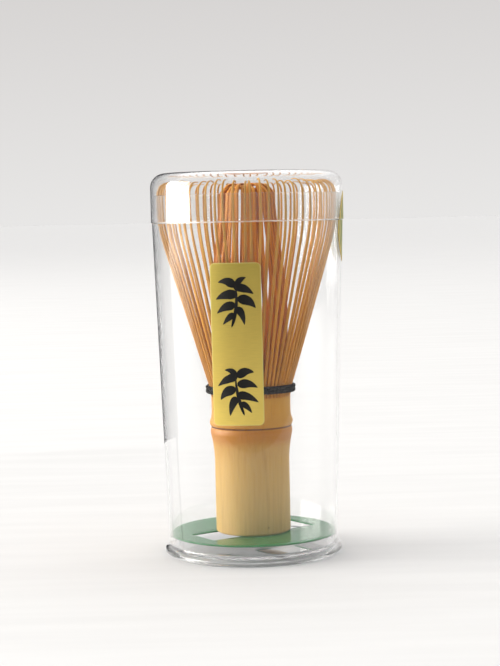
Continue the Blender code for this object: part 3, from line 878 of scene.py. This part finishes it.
def half_disc():
    """Grid of (ray, step): from the window's edge, where a ray leaves the box round the window, to the rim or
    the middle line, where it leaves the half disc, whichever comes first."""
    angles, columns = fan_angles()
    x, y = np.cos(angles), np.sin(angles)
    half_long = WINDOW_END - FAN_MIDDLE
    inner = np.minimum(half_long / np.maximum(abs(x), 1e-9), WINDOW_HALF / np.maximum(abs(y), 1e-9))
    to_rim = -FAN_MIDDLE * x + np.sqrt((FAN_MIDDLE * x) ** 2 + DISC_RADIUS**2 - FAN_MIDDLE**2)
    to_line = np.where(x < -1e-9, FAN_MIDDLE / np.maximum(-x, 1e-9), np.inf)
    outer = np.minimum(to_rim, to_line)
    reach = inner + (outer - inner) * np.linspace(0, 1, RAY_STEPS)[:, None]
    flat = np.stack([FAN_MIDDLE + reach * x, reach * y, np.full_like(reach, DISC_MIDDLE)], axis=-1)
    bend = arc((FOLD, DISC_MIDDLE + BEND), BEND, -90, 0, 6)
    rise = np.linspace((TAB_OUT, DISC_MIDDLE + 3 * BEND), (TAB_OUT, DISC_HIGH[2]), TAB_ROWS)
    rise = np.concatenate([bend, rise])[:, None, :]
    tab = np.stack(np.broadcast_arrays(rise[..., 0], columns[None, :], rise[..., 1]), axis=-1)
    points = np.concatenate([flat.reshape(-1, 3), tab.reshape(-1, 3)])
    tab_faces = grid_faces(len(rise), TAB_COLUMNS, close_columns=False) + flat.shape[0] * flat.shape[1]
    return points, np.concatenate([grid_faces(*flat.shape[:2]), tab_faces[:, ::-1]])


half, half_faces = half_disc()
half_turn = np.array([[-1, 0, 0], [0, -1, 0], [0, 0, 1]])
slot_turn = np.array(Matrix.Rotation(SLOT_TURN, 3, "Z"))
disc = make_piece(
    "green_disc", np.concatenate([half, half @ half_turn]) @ slot_turn.T,
    np.concatenate([half_faces, half_faces + len(half)]), green_sheet(),
    "stand", "green_sheet", ["green_stand"],
)
thick = disc.modifiers.new("sheet thickness", "SOLIDIFY")
thick.thickness = SHEET * MM
thick.offset = 0
soft_edge = disc.modifiers.new("cut edge", "BEVEL")
soft_edge.width = 0.05 * MM
soft_edge.segments = 2
soft_edge.limit_method = "ANGLE"
soft_edge.angle_limit = math.radians(60)

# %% [markdown]
# ## The label
# A gold foil sticker with rounded corners on the front of the cup, bent to its cone. It is a thin plate: a
# front and a back grid, whose rows are as wide as the rounded outline is there. The two ink drawings on it
# are generic sprigs of bamboo leaves, brushed in black. Each stroke is a thin plate on a curved middle line.


# %% Stickers on a round wall
WALL_GAP = 0.03
STICKER_ROWS, STICKER_COLUMNS = 65, 41


def on_wall(across, height, radius, azimuth):
    """A point that lies `across` millimetres along the wall from an azimuth, which is 0 in front."""
    angle = azimuth + across / radius
    return np.stack([radius * np.sin(angle), -radius * np.cos(angle), height], axis=-1)


def sticker(name, low, high, half_width, wall, azimuth, finish, slot, body, stands_for, middle, thickness):
    """A plate on the wall from one height to the other, `half_width` of the height wide on either side. Rows
    and columns lie closer towards the edges, as the cosine and the sine of even steps do. Each point carries
    its place from the sticker's middle, and its distance in from the edge."""
    share = 0.5 - 0.5 * np.cos(np.linspace(0, np.pi, STICKER_ROWS))
    height = (low + (high - low) * share)[:, None] + np.zeros((1, STICKER_COLUMNS))
    half = half_width(height)
    across = half * np.sin(np.linspace(-np.pi / 2, np.pi / 2, STICKER_COLUMNS))[None, :]
    front = on_wall(across, height, wall(height) + WALL_GAP + thickness, azimuth)
    back = on_wall(across, height, wall(height) + WALL_GAP, azimuth)
    inset = np.minimum(half - abs(across), np.minimum(height - low, high - height))
    values = {"right": across, "up": height - middle, "inset": inset}
    make_piece(
        name, np.stack([front, back]), slab_faces(STICKER_ROWS, STICKER_COLUMNS), finish, body, slot,
        stands_for, sharp=40, **{key: np.tile(value.ravel(), 2) for key, value in values.items()},
    )


def gold_foil():
    """Brushed gold foil on paper: half mirror, half matt lacquer, brushed across with lines too fine to
    see, so drawn about 0.3 mm wide. The edge is pale where the cut paper shows. The gold is painted lighter
    towards the lower right and darker towards the upper left: painted light and shade."""
    finish, tree, shader = new_finish("gold foil sticker", Metallic=0.62)
    up, right, inset = (
        add(tree, "ShaderNodeAttribute", attribute_name=key).outputs["Fac"]
        for key in ("up", "right", "inset")
    )
    place = add(tree, "ShaderNodeCombineXYZ", {"X": right, "Y": up})
    # Painted light and shade: the foil's colour is lighter towards the lower right and darker towards the upper
    # left.
    painted_light_slope = add(tree, "ShaderNodeMath", {0: right, 1: -1.6, 2: up}, operation="MULTIPLY_ADD")
    share = add(tree, "ShaderNodeMapRange", {"Value": painted_light_slope, "From Min": -26, "From Max": 26})
    tint = add(
        tree, "ShaderNodeValToRGB", {"Fac": share},
        stops=((0.0, "#f6da70"), (0.45, "#e2c663"), (1.0, "#c9b355")),
    )
    brushed = add(tree, "ShaderNodeMapping", {"Vector": place, "Scale": (0.08, 1, 1)})
    lines = add(tree, "ShaderNodeTexNoise", {"Vector": brushed, "Scale": 3.2, "Detail": 3})
    shade = add(tree, "ShaderNodeMapRange", {"Value": lines, "To Min": 0.9, "To Max": 1.1})
    lined = add(tree, "ShaderNodeVectorMath", {0: tint, "Scale": shade}, operation="SCALE")
    rim = add(
        tree, "ShaderNodeMapRange",
        {"Value": inset, "From Min": 0.1, "From Max": 0.4, "To Min": 0.7, "To Max": 0.0},
    )
    edged = add(tree, "ShaderNodeMix", {0: rim, 6: lined, 7: linear("#efe08f")}, data_type="RGBA")
    rough = add(tree, "ShaderNodeMapRange", {"Value": lines, "To Min": 0.34, "To Max": 0.56})
    feed(tree, shader, {"Base Color": edged, "Roughness": rough})
    return finish


# %% Label
LABEL_LOW, LABEL_HIGH = box_of("front_label")
LABEL_AZIMUTH = math.radians(-7.7)
LABEL_HALF = 8.25
LABEL_CORNER = 1.7
LABEL_THICK = 0.15
LABEL_MIDDLE = (LABEL_LOW[2] + LABEL_HIGH[2]) / 2


def label_half_width(height):
    """Full half width, less what the corner's circle takes away near either end."""
    near_end = np.minimum(np.minimum(height - LABEL_LOW[2], LABEL_HIGH[2] - height), LABEL_CORNER)
    return LABEL_HALF - LABEL_CORNER + np.sqrt(LABEL_CORNER**2 - (LABEL_CORNER - near_end) ** 2)


sticker(
    "gold_label", LABEL_LOW[2], LABEL_HIGH[2], label_half_width, cup_outside, LABEL_AZIMUTH, gold_foil(),
    "gold_label", "case", ["front_label"], LABEL_MIDDLE, LABEL_THICK,
)

# %% Ink sprigs
STROKE_ROWS, STROKE_COLUMNS = 26, 7
INK_THICK, INK_GAP = 0.05, 0.005

# A stroke, seen from the sprig's middle: its start, the point that pulls it, its end, and its half width.
SPRIG = [
    ((-0.8, -7.6), (1.2, -0.5), (-0.8, 6.0), 0.55),
    ((-0.8, 5.4), (0.4, 7.4), (3.0, 8.0), 0.95),
    ((-0.9, 4.9), (2.2, 5.0), (5.8, 3.4), 1.35),
    ((-0.8, 4.4), (-3.2, 7.2), (-6.3, 5.4), 1.35),
    ((0.0, 2.2), (-3.6, 2.9), (-6.4, 0.2), 1.5),
    ((0.3, 0.8), (3.6, 2.0), (6.4, -1.4), 1.55),
    ((0.2, -1.0), (-2.6, -0.6), (-5.6, -4.6), 1.4),
    ((0.2, -1.6), (2.4, -2.2), (3.9, -6.9), 1.3),
    ((-0.1, -3.6), (-1.6, -4.4), (-3.2, -7.4), 0.95),
]


def brush_ink():
    """Black ink, glossy where the stroke starts, dry and brown-black at its end."""
    finish, tree, shader = new_finish("black brush ink", Specular_IOR_Level=0.4)
    along = add(tree, "ShaderNodeAttribute", attribute_name="along").outputs["Fac"]
    place = add(tree, "ShaderNodeTexCoord").outputs["Object"]
    grain = add(tree, "ShaderNodeTexNoise", {"Vector": place, "Scale": per_mm(0.5), "Detail": 3})
    dry = add(tree, "ShaderNodeMath", {0: along, 1: grain}, operation="MULTIPLY")
    colour = add(tree, "ShaderNodeValToRGB", {"Fac": dry}, stops=((0.2, "#0f0e0c"), (0.75, "#2c2620")))
    rough = add(tree, "ShaderNodeMapRange", {"Value": dry, "To Min": 0.35, "To Max": 0.8})
    feed(tree, shader, {"Base Color": colour, "Roughness": rough})
    return finish


def sprig(name, height, mirror, turn, seed, finish):
    """Strokes on the label. Each middle line is a quadratic Bezier, and its half width goes as the sine of
    the share travelled to a power below 1, so that it swells early and tapers to a point."""
    chance = np.random.default_rng(seed)
    share = np.linspace(0, 1, STROKE_ROWS)[:, None]
    side = np.linspace(-1, 1, STROKE_COLUMNS)[None, :]
    points, faces, along = [], [], []
    for start, pull, end, width in SPRIG:
        start, pull, end = (np.array(p) * (mirror, 1) + chance.normal(0, 0.22, 2) for p in (start, pull, end))
        line = (1 - share) ** 2 * start + 2 * share * (1 - share) * pull + share**2 * end
        tangent = np.gradient(line, axis=0)
        tangent /= np.linalg.norm(tangent, axis=1, keepdims=True)
        ragged = 1 + 0.1 * np.cumsum(chance.normal(0, 0.5, (STROKE_ROWS, 1)), axis=0) / 3
        half = width * np.sin(np.pi * share**0.62) ** 0.8 * ragged * 0.98 + 0.02
        square = np.stack([-tangent[:, 1], tangent[:, 0]], axis=-1)[:, None]
        flat = line[:, None, :] + (half * side)[..., None] * square
        across = flat[..., 0] * math.cos(turn) - flat[..., 1] * math.sin(turn)
        up = flat[..., 0] * math.sin(turn) + flat[..., 1] * math.cos(turn) + height
        label = cup_outside(up) + WALL_GAP + LABEL_THICK
        faces.append(slab_faces(STROKE_ROWS, STROKE_COLUMNS) + sum(map(len, points)))
        front = on_wall(across, up, label + INK_THICK, LABEL_AZIMUTH)
        back = on_wall(across, up, label + INK_GAP, LABEL_AZIMUTH)
        points.append(np.stack([front, back]).reshape(-1, 3))
        along.append(np.tile(np.broadcast_to(share, flat.shape[:2]).ravel(), 2))
    make_piece(
        name, np.concatenate(points), np.concatenate(faces), finish, "case", "gold_label",
        along=np.concatenate(along),
    )


brushed_ink = brush_ink()
sprig("ink_sprig_upper", LABEL_MIDDLE + 13.5, 1, math.radians(-8), 3, brushed_ink)
sprig("ink_sprig_lower", LABEL_MIDDLE - 15.3, -1, math.radians(10), 4, brushed_ink)

# %% [markdown]
# ## The seal
# A round paper sticker holds the lid shut until the case is first opened. The knife has gone round the rim
# through it, so half of it stays on the cup and half on the lid. Its print is a generic one: two rings and
# eight petals in gold on green.


# %% Printed paper
SEAL_MIDDLE = 108.7
SEAL_HALF = 11.7
SEAL_AZIMUTH = math.radians(92)
SEAL_THICK = 0.15
PETALS = 8.0
PETAL_DEPTH = 1.6


def printed_paper():
    """Coated paper printed in two inks. Rings come from the distance to the middle, petals from the angle."""
    finish, tree, shader = new_finish("printed seal paper", Roughness=0.5, Specular_IOR_Level=0.4)
    up, right = (add(tree, "ShaderNodeAttribute", attribute_name=key).outputs["Fac"] for key in ("up", "right"))
    place = add(tree, "ShaderNodeCombineXYZ", {"X": right, "Y": up})
    away = add(tree, "ShaderNodeVectorMath", {0: place}, operation="LENGTH")
    angle = add(tree, "ShaderNodeMath", {0: up, 1: right}, operation="ARCTAN2")
    lobes = add(tree, "ShaderNodeMath", {0: angle, 1: PETALS}, operation="MULTIPLY")
    lobes = add(tree, "ShaderNodeMath", {0: lobes}, operation="COSINE")
    petal = add(tree, "ShaderNodeMath", {0: lobes, 1: PETAL_DEPTH, 2: away}, operation="MULTIPLY_ADD")
    share = add(tree, "ShaderNodeMapRange", {"Value": petal, "From Max": 12.0})
    flower = add(
        tree, "ShaderNodeValToRGB", {"Fac": share},
        stops=((0.0, "#c9ab52"), (0.34, "#c9ab52"), (0.37, "#7f8a45"), (1.0, "#7f8a45")),
    )
    rings = add(tree, "ShaderNodeMapRange", {"Value": away, "From Max": SEAL_HALF})
    border = add(
        tree, "ShaderNodeValToRGB", {"Fac": rings},
        stops=(
            (0.0, "#000000"), (0.74, "#000000"), (0.76, "#ffffff"), (0.8, "#ffffff"), (0.82, "#000000"),
            (0.93, "#000000"), (0.95, "#ffffff"),
        ),
    )
    inks = add(tree, "ShaderNodeMix", {0: border, 6: flower, 7: linear("#d6bd6c")}, data_type="RGBA")
    fibre = add(tree, "ShaderNodeTexNoise", {"Vector": place, "Scale": 3.0, "Detail": 4})
    wear_and_painted_highlight = add(tree, "ShaderNodeMapRange", {"Value": fibre, "To Min": 0.88, "To Max": 1.12})
    faded = add(tree, "ShaderNodeVectorMath", {0: inks, "Scale": wear_and_painted_highlight}, operation="SCALE")
    feed(tree, shader, {"Base Color": faded})
    return finish


# %% Two halves
def seal_half_width(height):
    """Half the width of the circle at a height."""
    return np.sqrt(np.maximum(SEAL_HALF**2 - (height - SEAL_MIDDLE) ** 2, 0))


def lid_wall(height):
    """The lid's outside is straight."""
    return LID_RADIUS + 0 * height


seal_paper = printed_paper()
for node, wall, body in (("seal_body_half", cup_outside, "case"), ("seal_lid_half", lid_wall, "lid")):
    low, high = box_of(node)[0][2], box_of(node)[1][2]
    sticker(
        node.replace("half", "paper"), low, high, seal_half_width, wall, SEAL_AZIMUTH, seal_paper,
        "seal_paper", body, [node], SEAL_MIDDLE, SEAL_THICK,
    )

# %% [markdown]
# ## The size of the visual model is printed, in millimetres.
# The visual model has to stay inside the imported model's box, so both boxes are written down for comparison.

# %% Print the size of the visual model
low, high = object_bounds()
print("visual model, mm:", [round((b - a) / MM, 1) for a, b in zip(low, high)])
